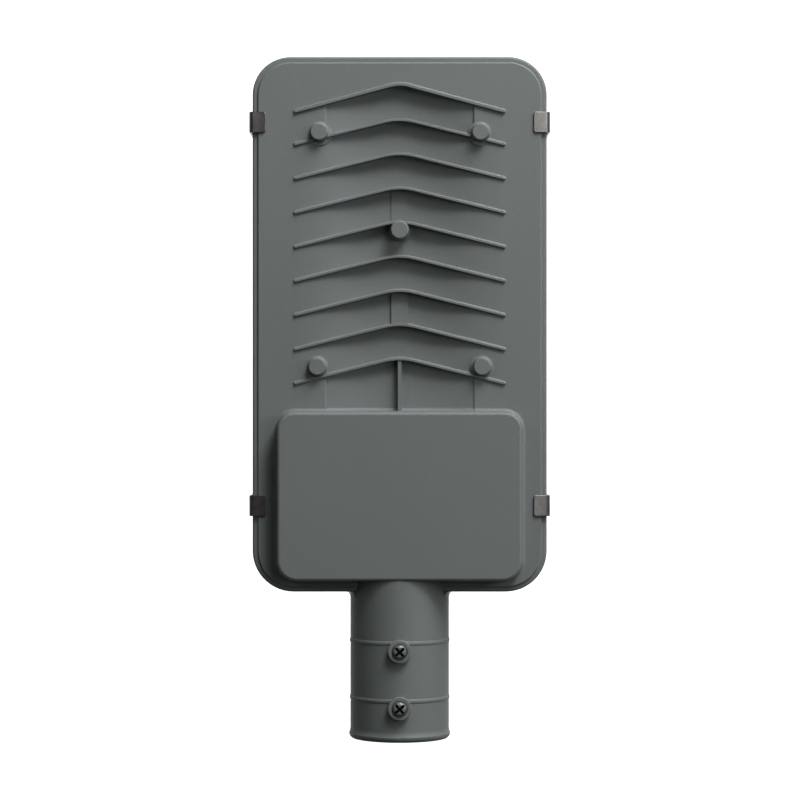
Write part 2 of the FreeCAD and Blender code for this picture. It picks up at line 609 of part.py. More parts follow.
# the decks' inner walls slope down into the dish
slope_tall = D.slope_top - D.slope_foot
for sign, word in ((1, "Right"), (-1, "Left")):
    a, b = D.slope_out * sign, D.slope_in * sign
    s = new_sketch(housing, "UpperSlopeOutline" + word, level=D.slope_foot)
    outline(s, [(a, nose_line - D.slope_out * D.fin_one_slope + 3), (b, nose_line - D.slope_in * D.fin_one_slope + 3),
                (b, D.fin_apex + 0.1 - D.slope_in * D.fin_slope), (a, D.fin_apex + 0.1 - D.slope_out * D.fin_slope)])
    pad(housing, "UpperSlope" + word, s, slope_tall, taper=-D.deck_slope)
    s = new_sketch(housing, "LowerSlopeOutline" + word, level=D.slope_foot)
    outline(s, [(a, last_mid + 0.8 - D.slope_out * D.fin_slope), (b, last_mid + 0.8 - D.slope_in * D.fin_slope),
                (b, D.box_front - 4), (a, D.box_front - 4)])
    pad(housing, "LowerSlope" + word, s, slope_tall, taper=-D.deck_slope)
    # round lip of the deck under the upper boss
    s = new_sketch(housing, "LipOutline" + word, level=D.lip_foot)
    circle(s, D.boss_up_x * sign, D.boss_up_y - D.lip_back, D.lip_rad + D.slope_top - D.lip_foot)
    pad(housing, "Lip" + word, s, D.slope_top - D.lip_foot, taper=-D.deck_slope)

# two low flat pads on the centre line, each between two fins
pad_start = D.fin_apex + D.fin_wide / 2
for word, below, top in (("A", 3, D.pad_a_z), ("B", 6, D.pad_b_z)):
    s = new_sketch(housing, "LowPadOutline" + word, level=D.core_z)
    rect(s, -D.pad_half, D.pad_half, pad_start - D.fin_pitch * below, pad_start - D.fin_pitch * (below - 1) - 0.4)
    pad(housing, "LowPad" + word, s, top - D.core_z)


def boss(name, x, y, flat, base):
    """Round drafted boss with a soft foot and a soft top edge."""
    sk = housing.newObject("Sketcher::SketchObject", name + "Profile")
    sk.AttachmentSupport = [(origin_plane(housing, "XZ_Plane"), "")]
    sk.MapMode = "FlatFace"
    sk.setExpression("AttachmentOffset.Base.x", Q.of(x).t)
    sk.setExpression("AttachmentOffset.Base.z", (-y).t)
    e, f = D.boss_edge_rad, D.boss_root_rad
    foot = flat + (D.boss_top - base) * D.boss_draft
    outline(sk, [(ZERO, D.core_z), (foot + f, D.core_z), (foot + f, base), (foot, base + f),
                 (flat, D.boss_top - e), (flat - e, D.boss_top), (ZERO, D.boss_top)],
            {2: (f, -1), 4: (e * 1.02, 1)})
    revolve(housing, name, sk)


boss("BossUpRight", D.boss_up_x, D.boss_up_y, D.boss_up_rad, D.plate_z)
boss("BossUpLeft", -D.boss_up_x, D.boss_up_y, D.boss_up_rad, D.plate_z)
boss("BossMid", ZERO, D.boss_mid_y, D.boss_mid_rad, D.plate_z - 5)
boss("BossLowRight", D.boss_low_x, D.boss_low_y, D.boss_low_rad, D.plate_z)
boss("BossLowLeft", -D.boss_low_x, D.boss_low_y, D.boss_low_rad, D.plate_z)

doc.recompute()
merge[0] = True


# ---------------------------------------------------------- other pieces
def slab(label, x0, x1, y0, y1, z0, z1, r_rear=None, r_nose=None, holes=()):
    """A flat piece with round corners, with through holes (x, y, radius)."""
    body = new_body(label)
    sk = new_sketch(body, label + "_outline", level=z0)
    if r_rear is None:
        rect(sk, x0, x1, y0, y1)
    else:
        round_rect(sk, x0, x1, y0, y1, r_rear, r_nose if r_nose is not None else r_rear)
    for k, (hx, hy, hr) in enumerate(holes):
        circle(sk, Q.of(hx), Q.of(hy), Q.of(hr), "h%d" % k)
    pad(body, label + "_pad", sk, z1 - z0)
    return body


def profile_at(body, name, x, y):
    """Upright sketch whose local axis stands at x, y."""
    sk = body.newObject("Sketcher::SketchObject", name)
    sk.AttachmentSupport = [(origin_plane(body, "XZ_Plane"), "")]
    sk.MapMode = "FlatFace"
    sk.setExpression("AttachmentOffset.Base.x", Q.of(x).t)
    sk.setExpression("AttachmentOffset.Base.z", (-Q.of(y)).t)
    return sk


def grid(body, name, feature, sk, nx, dx, ny, dy):
    """Repeat a feature nx times along X and ny times along Y."""
    multi = body.newObject("PartDesign::MultiTransform", name)
    steps = []
    for word, n, d, role in (("X", nx, dx, "X_Axis"), ("Y", ny, dy, "Y_Axis")):
        if n > 1:
            step = body.newObject("PartDesign::LinearPattern", name + word)
            step.Direction = ([a for a in body.Origin.OriginFeatures if a.Role == role][0], [""])
            step.setExpression("Length", (Q.of(d) * (n - 1)).t)
            step.Occurrences = n
            steps.append(step)
    multi.Originals = [feature]
    multi.Transformations = steps
    body.Tip = multi
    doc.recompute()
    return multi


def up_screws(label, x, y, seat, head_r, head_t, shank_r, reach, nx=1, dx=0, ny=1, dy=0):
    """Socket-head screws driven upwards, head underside at z = seat."""
    body = new_body(label)
    sk = profile_at(body, label + "_profile", x, y)
    low = seat - head_t
    outline(sk, [(ZERO, low + 1.0), (shank_r * 0.7, low + 1.0), (shank_r * 0.7, low), (head_r - 0.3, low),
                 (head_r, low + 0.3), (head_r, seat), (shank_r, seat), (shank_r, seat + reach - 0.4),
                 (shank_r - 0.4, seat + reach), (ZERO, seat + reach)])
    f = revolve(body, label + "_turned", sk)
    if nx > 1 or ny > 1:
        grid(body, label + "_set", f, sk, nx, dx, ny, dy)
    return body


# glass and its gasket
g0 = D.gasket_gap
g1 = g0 + D.gasket_wall
g2 = g1 + D.gasket_lip
nose_seat = D.nose_y - D.rim_wall
tail_seat_rad, nose_seat_rad = D.tail_rad - 2.5, D.nose_rad - 2
gasket = new_body("glass_gasket")
s = new_sketch(gasket, "GasketOutline", level=D.rim_z)
round_rect(s, g0 - seat_half, seat_half - g0, D.recess_rear + g0, nose_seat - g0, tail_seat_rad - g0, nose_seat_rad - g0, "o")
round_rect(s, g2 - seat_half, seat_half - g2, D.recess_rear + g2, nose_seat - g2, tail_seat_rad - g2, nose_seat_rad - g2, "i")
pad(gasket, "GasketRing", s, D.seat_z - D.rim_z)
glass_low = D.rim_z + (D.seat_z - D.rim_z - D.glass_thick) / 2
s = new_sketch(gasket, "GasketSlotOutline", level=glass_low)
round_rect(s, g1 - seat_half, seat_half - g1, D.recess_rear + g1, nose_seat - g1, tail_seat_rad - g1, nose_seat_rad - g1)
pocket(gasket, "GasketSlot", s, D.glass_thick, back=True)
slab("cover_glass", g1 - seat_half, seat_half - g1, D.recess_rear + g1, nose_seat - g1,
     glass_low, glass_low + D.glass_thick, tail_seat_rad - g1, nose_seat_rad - g1)


# sheet steel clips over the edge
def clip(label, sign, y):
    body = new_body(label)
    sk = new_sketch(body, label + "_section", "XZ_Plane", y + D.clip_wide / 2)
    t, r = D.clip_thick, D.clip_bend
    top, low = D.plate_z + t, D.rim_z - t
    inn, out, turn = sign * D.clip_in, sign * D.clip_out, sign * (D.clip_out - r)
    wall = sign * (D.clip_out - t)
    outline(sk, [(inn, low), (turn, low), (out, low + r), (out, top - r), (turn, top), (inn, top),
                 (inn, D.plate_z), (turn, D.plate_z), (wall, top - r), (wall, low + r), (turn, D.rim_z), (inn, D.rim_z)],
            {1: (r, sign), 3: (r, sign), 7: (r - t, -sign), 9: (r - t, -sign)})
    f = pad(body, label + "_strip", sk, D.clip_wide)
    names = edges_where(f.Shape, lambda m: abs(abs(m.x) - D.clip_in.v) < 0.01
                        and abs(abs(m.y - y.v) - D.clip_wide.v / 2) < 0.01, outer)
    f = fillet(body, label + "_corners", f, names, D.clip_corner)
    names = edges_where(f.Shape, lambda m: abs(m.z - top.v) < 0.01, outer)
    fillet(body, label + "_edges", f, names, D.clip_edge)


clip("clip_front_left", -1, D.clip_front_y)
clip("clip_front_right", 1, D.clip_front_y)
clip("clip_rear_left", -1, D.clip_rear_y)
clip("clip_rear_right", 1, D.clip_rear_y)


# pan-head screws, their heads sunk a little in the socket's pads
def pan_screw(label, y):
    body = new_body(label)
    sk = profile_at(body, label + "_profile", ZERO, y)
    seat, top = D.screw_seat_z, D.screw_seat_z + D.screw_head_tall
    hr, sr = D.screw_head_rad, D.screw_shank_rad
    outline(sk, [(ZERO, D.screw_tip_z), (sr - 0.5, D.screw_tip_z), (sr, D.screw_tip_z + 0.5), (sr, seat), (hr, seat),
                 (hr, seat + 1.1), (hr - 1.3, top - 0.12), (ZERO, top)],
            {5: (Q.of(1.9), 1), 6: (Q.of(32.0), 1)})
    revolve(body, label + "_turned", sk)
    s = body.newObject("Sketcher::SketchObject", label + "_cross")
    s.AttachmentSupport = [(origin_plane(body, "XY_Plane"), "")]
    s.MapMode = "FlatFace"
    s.AttachmentOffset = Placement(Vector(0, 0, 0), Rotation(Vector(0, 0, 1), D.cross_turn.v))
    s.setExpression("AttachmentOffset.Base.y", y.t)
    s.setExpression("AttachmentOffset.Base.z", (top + 0.5).t)
    a, b = D.cross_half, D.cross_wide
    outline(s, [(b, -a), (b, -b), (a, -b), (a, b), (b, b), (b, a), (-b, a), (-b, b), (-a, b), (-a, -b), (-b, -b), (-b, -a)])
    pocket(body, label + "_recess", s, D.cross_deep + 0.5)


pan_screw("spigot_screw_front", D.screw_a_y)
pan_screw("spigot_screw_rear", D.screw_b_y)

# LED engine under the dished floor
board_top = D.led_face - D.pad_thick
board_low = board_top - D.board_thick
screw_spots = [(sign * D.board_screw_x, D.board_screw_rear + D.board_screw_pitch * i) for i in range(3) for sign in (-1, 1)]
slab("thermal_pad", -D.board_half, D.board_half, D.board_rear, D.board_nose, board_top, D.led_face, 3, 3,
     [(x, y, D.three_rad + 0.3) for x, y in screw_spots])
slab("led_board", -D.board_half, D.board_half, D.board_rear, D.board_nose, board_low, board_top, 3, 3,
     [(x, y, D.three_rad + 0.1) for x, y in screw_spots])
up_screws("led_board_screws", -D.board_screw_x, D.board_screw_rear, board_low, D.three_head_rad, D.three_head_tall,
          D.three_rad, D.board_thick + D.pad_thick + D.tap_deep - 0.3, 2, 2 * D.board_screw_x, 3, D.board_screw_pitch)

chips = new_body("led_chips")
first_x = -2.5 * D.col_pitch
half_chip = D.chip_side / 2
s = new_sketch(chips, "ChipOutline", level=board_low - D.chip_thick)
rect(s, first_x - half_chip, first_x + half_chip, D.row_first - half_chip, D.row_first + half_chip)
f = pad(chips, "Chip", s, D.chip_thick)
grid(chips, "ChipGrid", f, s, 6, D.col_pitch, 8, D.row_pitch)

lens = new_body("lens_plate")
lens_top = board_low - D.lens_gap
lens_low = lens_top - D.lens_thick
s = new_sketch(lens, "LensOutline", level=lens_low)
round_rect(s, -D.lens_half, D.lens_half, D.lens_rear, D.lens_nose, 4, 4)
pad(lens, "LensSheet", s, board_low - lens_low)
s = new_sketch(lens, "LensInnerOutline", level=lens_top)
w = D.lens_rim
round_rect(s, w - D.lens_half, D.lens_half - w, D.lens_rear + w, D.lens_nose - w, Q.of(4) - w, Q.of(4) - w)
pocket(lens, "LensRelief", s, D.lens_gap + 1, back=True)
dome_bend = (D.dome_rad * D.dome_rad + D.dome_rise * D.dome_rise) / (2 * D.dome_rise)
s = profile_at(lens, "DomeProfile", first_x, D.row_first)
outline(s, [(ZERO, lens_low - D.dome_rise), (D.dome_rad, lens_low), (D.dome_rad, lens_low + 0.8), (ZERO, lens_low + 0.8)],
        {0: (dome_bend, 1)})
f = revolve(lens, "Dome", s)
grid(lens, "DomeGrid", f, s, 6, D.col_pitch, 8, D.row_pitch)

# driver in its bay
driver = slab("driver", D.driver_left, D.driver_right, D.driver_rear, D.driver_front, D.driver_low, D.driver_high, 2, 2)
s = new_sketch(driver, "EarOutline", level=D.driver_boss_z - D.driver_ear_thick)
round_rect(s, D.driver_left - D.driver_ear, D.driver_right + D.driver_ear,
           D.driver_ear_y - D.driver_ear_half, D.driver_ear_y + D.driver_ear_half, 2, 2)
pad(driver, "Ears", s, D.driver_ear_thick)
s = new_sketch(driver, "EarHoleOutline", level=D.driver_boss_z - D.driver_ear_thick - 1)
circle(s, ear_left, D.driver_ear_y, D.three_rad + 0.2, "a")
circle(s, ear_right, D.driver_ear_y, D.three_rad + 0.2, "b")
pocket(driver, "EarHoles", s, D.driver_ear_thick + 2, back=True)
up_screws("driver_screws", ear_left, D.driver_ear_y, D.driver_boss_z - D.driver_ear_thick, D.three_head_rad,
          D.three_head_tall, D.three_rad, D.driver_ear_thick + D.tap_deep - 0.2, 2, ear_right - ear_left)

# mains terminals
block = slab("terminal_block", D.block_left, D.block_right, D.block_rear, D.block_front, D.block_low, D.bay_top, 1, 1,
             [(block_x, D.block_hole_rear, D.three_rad + 0.2), (block_x, D.block_hole_front, D.three_rad + 0.2)])
s = new_sketch(block, "ClampHoleOutline", level=D.block_low - 1)
for i in range(3):
    circle(s, block_x, D.mains_y + D.mains_pitch * i, Q.of(2.1), "t%d" % i)
pocket(block, "ClampHoles", s, Q.of(4), back=True)
up_screws("terminal_screws", block_x, D.mains_y, D.block_low + 2.2, Q.of(2.0), Q.of(2.4), Q.of(1.2), Q.of(0.8),
          1, 0, 3, D.mains_pitch)
up_screws("terminal_block_screws", block_x, D.block_hole_rear, D.block_low, D.three_head_rad, D.three_head_tall,
          D.three_rad, D.bay_top - D.block_low + 1.5, 1, 0, 2, D.block_hole_front - D.block_hole_rear)

# earth point
lug = slab("earth_lug", D.earth_x - 2.2, D.earth_x + 2.2, D.lug_start, D.earth_y, D.earth_boss_z - D.lug_thick,
           D.earth_boss_z - 0.0)
s = new_sketch(lug, "LugRing", level=D.earth_boss_z - D.lug_thick)
circle(s, D.earth_x, D.earth_y, D.lug_rad)
pad(lug, "LugEye", s, D.lug_thick)
lead_z = D.earth_boss_z - D.lug_thick - D.lug_barrel + 0.6
s = new_sketch(lug, "LugBarrelOutline", "XZ_Plane", D.lug_start + 4)
circle(s, D.earth_x, lead_z, D.lug_barrel)
pad(lug, "LugBarrel", s, Q.of(4))
s = new_sketch(lug, "LugHoleOutline", level=D.earth_boss_z - 3)
circle(s, D.earth_x, D.earth_y, D.four_rad + 0.15)
pocket(lug, "LugHole", s, Q.of(5), back=True)
up_screws("earth_screw", D.earth_x, D.earth_y, D.earth_boss_z - D.lug_thick, D.four_head_rad, Q.of(2.4), D.four_rad,
          D.lug_thick + 4.5)

# cable gland in the wall at the end of the socket
gland = new_body("gland_body")
wall_in = D.cavity_rear
hex_y = wall_in + D.seal_thick
s = new_sketch(gland, "GlandHex", "XZ_Plane", hex_y + D.gland_hex_tall)
outline(s, [(D.gland_hex * math.cos(math.radians(a)), D.gland_z + D.gland_hex * math.sin(math.radians(a)))
            for a in (0, 60, 120, 180, 240, 300)])
pad(gland, "GlandFlange", s, D.gland_hex_tall)
s = new_sketch(gland, "GlandThreadOutline", "XZ_Plane", hex_y + D.gland_hex_tall + D.gland_nose)
circle(s, ZERO, D.gland_z, D.gland_rad)
pad(gland, "GlandThread", s, hex_y + D.gland_hex_tall + D.gland_nose - D.bore_depth - 0.3)
s = new_sketch(gland, "GlandBoreOutline", "XZ_Plane", D.bore_depth - 2)
circle(s, ZERO, D.gland_z, D.gland_bore)
pocket(gland, "GlandBore", s, Q.of(40))


def ring(label, y0, y1, r_in, r_out):
    body = new_body(label)
    sk = new_sketch(body, label + "_outline", "XZ_Plane", y1)
    circle(sk, ZERO, D.gland_z, r_out, "o")
    circle(sk, ZERO, D.gland_z, r_in, "i")
    pad(body, label + "_ring", sk, y1 - y0)
    return body


ring("gland_seal", wall_in, hex_y, D.gland_rad + 0.1, D.seal_rad)
nut = new_body("gland_nut")
s = new_sketch(nut, "NutProfile", level=D.gland_z)
nut_y = hex_y + D.gland_hex_tall
end_y = nut_y + D.gland_nut_tall
outline(s, [(D.gland_rad + 0.1, nut_y), (D.gland_nut_rad, nut_y), (D.gland_nut_rad, end_y - 3.5), (D.gland_rad - 0.6, end_y),
            (D.gland_bore, end_y), (D.gland_bore, end_y - 1.5), (D.gland_rad + 0.1, end_y - 2.8)],
        {2: (Q.of(5.0), 1)})
revolve(nut, "NutTurned", s)

# plate over the driver bay
spots = [(sign * D.post_x, y) for sign in (-1, 1) for y in (D.post_rear_y, D.post_front_y)]
slab("driver_cover_plate", -D.tray_half, D.tray_half, D.tray_rear, D.tray_front, D.post_z - D.tray_thick, D.post_z, 4, 4,
     [(x, y, D.three_rad + 0.2) for x, y in spots])
up_screws("cover_plate_screws", -D.post_x, D.post_rear_y, D.post_z - D.tray_thick, D.three_head_rad, D.three_head_tall,
          D.three_rad, D.tray_thick + 6, 2, 2 * D.post_x, 2, D.post_front_y - D.post_rear_y)


# leads
def straight_lead(label, role, a, b, start, length, back):
    body = new_body(label)
    sk = new_sketch(body, label + "_section", role, start)
    circle(sk, a, b, D.lead_rad)
    pad(body, label + "_run", sk, length, back=back)


straight_lead("mains_lead_live", "YZ_Plane", D.mains_y, D.mains_z, D.driver_right, D.block_left - D.driver_right, False)
straight_lead("mains_lead_neutral", "YZ_Plane", D.mains_y + D.mains_pitch, D.mains_z, D.driver_right,
              D.block_left - D.driver_right, False)
straight_lead("earth_lead", "XZ_Plane", D.earth_x, lead_z, D.lug_start, D.lug_start - D.block_front, False)


def bent_lead(label, x):
    """From the driver's front face down and under the edge of the board."""
    body = new_body(label)
    sec = new_sketch(body, label + "_section", "XZ_Plane", D.driver_front)
    circle(sec, x, D.lead_drop, D.lead_rad)
    sk = new_sketch(body, label + "_spine", "YZ_Plane", x)
    r = D.lead_bend
    y1 = D.driver_front + 1
    low = D.lead_drop - 2 * r
    segs = [(D.driver_front, D.lead_drop), (y1, D.lead_drop), (y1 + r, D.lead_drop - r), (y1 + 2 * r, low), (D.board_rear + 3, low)]
    last = None
    for i in range(4):
        a, b = Vector(segs[i][0].v, segs[i][1].v, 0), Vector(segs[i + 1][0].v, segs[i + 1][1].v, 0)
        if i == 1:
            geo = sk.addGeometry(Part.ArcOfCircle(Part.Circle(Vector(a.x, b.y, 0), Vector(0, 0, 1), r.v), 0, math.pi / 2), False)
            ps, pe = 2, 1
        elif i == 2:
            geo = sk.addGeometry(Part.ArcOfCircle(Part.Circle(Vector(b.x, a.y, 0), Vector(0, 0, 1), r.v), math.pi, 1.5 * math.pi), False)
            ps, pe = 1, 2
        else:
            geo = sk.addGeometry(Part.LineSegment(a, b), False)
            ps, pe = 1, 2
        if last is not None:
            sk.addConstraint(Sketcher.Constraint("Coincident", last[0], last[1], geo, ps))
        else:
            pin(sk, geo, ps, segs[0][0], segs[0][1], "s")
        pin(sk, geo, pe, segs[i + 1][0], segs[i + 1][1], "p%d" % i)
        if i in (1, 2):
            bind(sk, sk.addConstraint(Sketcher.Constraint("Radius", geo, r.v)), "bend%d" % i, r)
        last = (geo, pe)
    f = body.newObject("PartDesign::AdditivePipe", label + "_run")
    f.Profile = sec
    f.Spine = (sk, ["Edge1", "Edge2", "Edge3", "Edge4"])
    doc.recompute()


bent_lead("dc_lead_positive", D.lead_x)
bent_lead("dc_lead_negative", D.lead_x - D.lead_pitch)

# ------------------------------------------------------------ check, write
doc.recompute()
for item in doc.Objects:
    if "Invalid" in item.State or "Error" in item.State:
        raise RuntimeError("failed object: %s %s" % (item.Label, item.State))
for item in doc.Objects:
    if item.TypeId == "Sketcher::SketchObject" and not item.FullyConstrained:
        print("loose sketch:", item.Label)
pieces = [item for item in doc.Objects if item.TypeId == "PartDesign::Body"]
for item in pieces:
    shape = item.Shape
    if shape.isNull() or not shape.isValid() or shape.Volume <= 0:
        raise RuntimeError("bad shape: " + item.Label)
if len(housing.Shape.Solids) != 1:
    raise RuntimeError("the casting is in %d pieces" % len(housing.Shape.Solids))
for item in pieces:
    item.Placement = Placement(Vector(0, 0, 0), Rotation())
    item.Shape.exportStep("parts/%s.step" % item.Label)
    box = item.Shape.BoundBox
    print("%-24s %2d %9.1f  X %.2f %.2f  Y %.2f %.2f  Z %.2f %.2f" % (
        item.Label, len(item.Shape.Solids), item.Shape.Volume,
        box.XMin, box.XMax, box.YMin, box.YMax, box.ZMin, box.ZMax))
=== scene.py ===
import json
import math

import bmesh
import bpy
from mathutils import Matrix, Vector

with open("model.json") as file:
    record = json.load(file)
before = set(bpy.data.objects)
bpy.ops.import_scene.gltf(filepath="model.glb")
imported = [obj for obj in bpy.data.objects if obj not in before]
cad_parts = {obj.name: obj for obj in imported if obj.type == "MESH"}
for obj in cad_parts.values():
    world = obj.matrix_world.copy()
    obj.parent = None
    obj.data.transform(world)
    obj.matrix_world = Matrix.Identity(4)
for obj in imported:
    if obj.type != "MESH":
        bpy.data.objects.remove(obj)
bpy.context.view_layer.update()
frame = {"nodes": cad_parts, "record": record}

nodes = frame["nodes"]


def linear(r, g, b):
    """sRGB 0-255 to the shader's linear colour."""
    out = []
    for c in (r, g, b):
        c = c / 255.0
        out.append(c / 12.92 if c <= 0.04045 else ((c + 0.055) / 1.055) ** 2.4)
    return (*out, 1.0)


# ------------------------------------------------------------------ materials
class Mat:
    """A node material: a shader with small helpers for its nodes."""

    def __init__(self, name):
        self.mat = bpy.data.materials.new(name)
        self.mat.use_nodes = True
        self.nt = self.mat.node_tree
        self.nt.nodes.clear()
        self.out = self.nt.nodes.new("ShaderNodeOutputMaterial")
        self.bsdf = self.nt.nodes.new("ShaderNodeBsdfPrincipled")
        self.nt.links.new(self.bsdf.outputs[0], self.out.inputs[0])
        self.coord = self.nt.nodes.new("ShaderNodeTexCoord")

    def set(self, **kw):
        for k, v in kw.items():
            self.bsdf.inputs[k.replace("_", " ")].default_value = v
        return self

    def node(self, kind, **kw):
        n = self.nt.nodes.new(kind)
        for k, v in kw.items():
            if hasattr(n, k):
                setattr(n, k, v)
            else:
                n.inputs[k].default_value = v
        return n

    def link(self, a, b):
        self.nt.links.new(a, b)

    def noise(self, scale, detail=3.0, rough=0.5, stretch=None):
        n = self.node("ShaderNodeTexNoise", Scale=scale, Detail=detail, Roughness=rough)
        if stretch:
            m = self.node("ShaderNodeMapping")
            m.inputs["Scale"].default_value = stretch
            self.link(self.coord.outputs["Object"], m.inputs["Vector"])
            self.link(m.outputs[0], n.inputs["Vector"])
        else:
            self.link(self.coord.outputs["Object"], n.inputs["Vector"])
        return n.outputs["Fac"]

    def spread(self, fac, lo, hi, a=0.3, b=0.7):
        r = self.node("ShaderNodeMapRange")
        r.inputs["From Min"].default_value = a
        r.inputs["From Max"].default_value = b
        r.inputs["To Min"].default_value = lo
        r.inputs["To Max"].default_value = hi
        self.link(fac, r.inputs["Value"])
        return r.outputs[0]

    def mix(self, fac, a, b):
        m = self.node("ShaderNodeMix", data_type="RGBA")
        m.inputs[6].default_value = a
        m.inputs[7].default_value = b
        self.link(fac, m.inputs[0])
        return m.outputs[2]

    def bump(self, height, distance, strength=1.0, chain=None):
        b = self.node("ShaderNodeBump", Distance=distance, Strength=strength)
        self.link(height, b.inputs["Height"])
        if chain is not None:
            self.link(chain, b.inputs["Normal"])
        return b.outputs["Normal"]


def powder_coat():
    m = Mat("powder_coat")
    m.set(Metallic=0.0, IOR=1.5)
    big = m.noise(9.0, 2.0, 0.5)
    fine = m.noise(700.0, 3.0, 0.6)
    grain = m.noise(2600.0, 2.0, 0.5)
    tone = m.mix(m.spread(big, 0.0, 1.0, 0.3, 0.7), linear(103, 109, 108), linear(109, 115, 114))
    speck = m.mix(m.spread(fine, 0.0, 1.0, 0.35, 0.65), linear(102, 108, 107), linear(110, 116, 115))
    blend = m.node("ShaderNodeMix", data_type="RGBA")
    blend.inputs[0].default_value = 0.45
    m.link(tone, blend.inputs[6])
    m.link(speck, blend.inputs[7])
    m.link(blend.outputs[2], m.bsdf.inputs["Base Color"])
    m.link(m.spread(fine, 0.50, 0.64), m.bsdf.inputs["Roughness"])
    n1 = m.bump(fine, 0.00006, 0.6)
    n2 = m.bump(grain, 0.00002, 0.5, n1)
    m.link(n2, m.bsdf.inputs["Normal"])
    return m.mat


def spring_steel():
    """Blackened spring steel, faintly rolled along the strip."""
    m = Mat("spring_steel")
    m.set(Metallic=0.85, IOR=1.5)
    brushed = m.noise(90.0, 4.0, 0.6, (1.0, 14.0, 1.0))
    mottled = m.noise(260.0, 4.0, 0.6)
    m.link(m.mix(m.spread(mottled, 0.0, 1.0), linear(106, 104, 102), linear(126, 124, 122)), m.bsdf.inputs["Base Color"])
    m.link(m.spread(brushed, 0.31, 0.4), m.bsdf.inputs["Roughness"])
    # the lap is a little crowned: it falls away from its free edge towards the bend
    place = m.node("ShaderNodeSeparateXYZ")
    m.link(m.coord.outputs["Object"], place.inputs[0])
    side = m.node("ShaderNodeMath", operation="ABSOLUTE")
    m.link(place.outputs[0], side.inputs[0])
    t = m.spread(side.outputs[0], 0.0, 1.0, 0.0755, 0.0875)
    crown = m.node("ShaderNodeMath", operation="MULTIPLY_ADD")
    m.link(t, crown.inputs[0])
    crown.inputs[1].default_value = -0.0012
    crown.inputs[2].default_value = -0.0020
    fall = m.node("ShaderNodeMath", operation="MULTIPLY")
    m.link(crown.outputs[0], fall.inputs[0])
    m.link(t, fall.inputs[1])
    n1 = m.bump(fall.outputs[0], 1.0, 1.0)
    m.link(m.bump(brushed, 0.00002, 0.4, n1), m.bsdf.inputs["Normal"])
    return m.mat


def screw_steel():
    """Dulled zinc on the heads; the cross recess is painted near-black as painted shade."""
    m = Mat("screw_steel")
    m.set(Metallic=0.55, IOR=1.5)
    mottled = m.noise(700.0, 4.0, 0.6)
    tone = m.mix(m.spread(mottled, 0.0, 1.0), linear(118, 120, 120), linear(140, 142, 142))
    place = m.node("ShaderNodeSeparateXYZ")
    m.link(m.coord.outputs["Object"], place.inputs[0])
    # distance along Y from the nearer of the two screws
    far = []
    for y in (0.053, 0.0201):
        d = m.node("ShaderNodeMath", operation="SUBTRACT")
        m.link(place.outputs[1], d.inputs[0])
        d.inputs[1].default_value = y
        a = m.node("ShaderNodeMath", operation="ABSOLUTE")
        m.link(d.outputs[0], a.inputs[0])
        far.append(a.outputs[0])
    dy = m.node("ShaderNodeMath", operation="MINIMUM")
    m.link(far[0], dy.inputs[0])
    m.link(far[1], dy.inputs[1])
    flat = m.node("ShaderNodeCombineXYZ")
    m.link(place.outputs[0], flat.inputs[0])
    m.link(dy.outputs[0], flat.inputs[1])
    r = m.node("ShaderNodeVectorMath", operation="LENGTH")
    m.link(flat.outputs[0], r.inputs[0])
    # painted shade: inside the cross recess, within its radius and below the head's top, the colour turns
    # near-black
    within = m.spread(r.outputs["Value"], 1.0, 0.0, 0.0036, 0.0038)
    deep = m.spread(place.outputs[2], 1.0, 0.0, 0.03345, 0.03375)
    painted_recess_shade = m.node("ShaderNodeMath", operation="MULTIPLY")
    m.link(within, painted_recess_shade.inputs[0])
    m.link(deep, painted_recess_shade.inputs[1])
    blend = m.node("ShaderNodeMix", data_type="RGBA")
    m.link(painted_recess_shade.outputs[0], blend.inputs[0])
    m.link(tone, blend.inputs[6])
    # the near-black colour of the painted shade in the recess
    blend.inputs[7].default_value = linear(14, 14, 15)
    m.link(blend.outputs[2], m.bsdf.inputs["Base Color"])
    m.link(m.spread(mottled, 0.36, 0.52), m.bsdf.inputs["Roughness"])
    m.link(m.bump(mottled, 0.00002, 0.5), m.bsdf.inputs["Normal"])
    return m.mat


def clear_glass():
    m = Mat("clear_glass")
    m.set(Base_Color=linear(236, 246, 244), Transmission_Weight=1.0, IOR=1.5)
    film = m.noise(14.0, 3.0, 0.5)
    m.link(m.spread(film, 0.01, 0.05), m.bsdf.inputs["Roughness"])
    return m.mat


def soft(name, a, b, r0, r1, scale=300.0, depth=0.00003, sheen=0.0):
    m = Mat(name)
    n = m.noise(scale, 4.0, 0.55)
    m.set(Metallic=0.0)
    if sheen:
        m.set(Sheen_Weight=sheen)
    m.link(m.mix(m.spread(n, 0.0, 1.0), linear(*a), linear(*b)), m.bsdf.inputs["Base Color"])
    m.link(m.spread(n, r0, r1), m.bsdf.inputs["Roughness"])
    m.link(m.bump(n, depth, 0.5), m.bsdf.inputs["Normal"])
    return m.mat


def metal(name, a, b, r0, r1, scale=400.0, stretch=None):
    m = Mat(name)
    n = m.noise(scale, 4.0, 0.6, stretch)
    m.set(Metallic=1.0)
    m.link(m.mix(m.spread(n, 0.0, 1.0), linear(*a), linear(*b)), m.bsdf.inputs["Base Color"])
    m.link(m.spread(n, r0, r1), m.bsdf.inputs["Roughness"])
    m.link(m.bump(n, 0.00002, 0.4), m.bsdf.inputs["Normal"])
    return m.mat


def lens_plastic():
    m = Mat("lens_plastic")
    m.set(Base_Color=linear(240, 244, 245), Transmission_Weight=0.85, IOR=1.49)
    n = m.noise(80.0, 3.0, 0.5)
    m.link(m.spread(n, 0.06, 0.14), m.bsdf.inputs["Roughness"])
    return m.mat


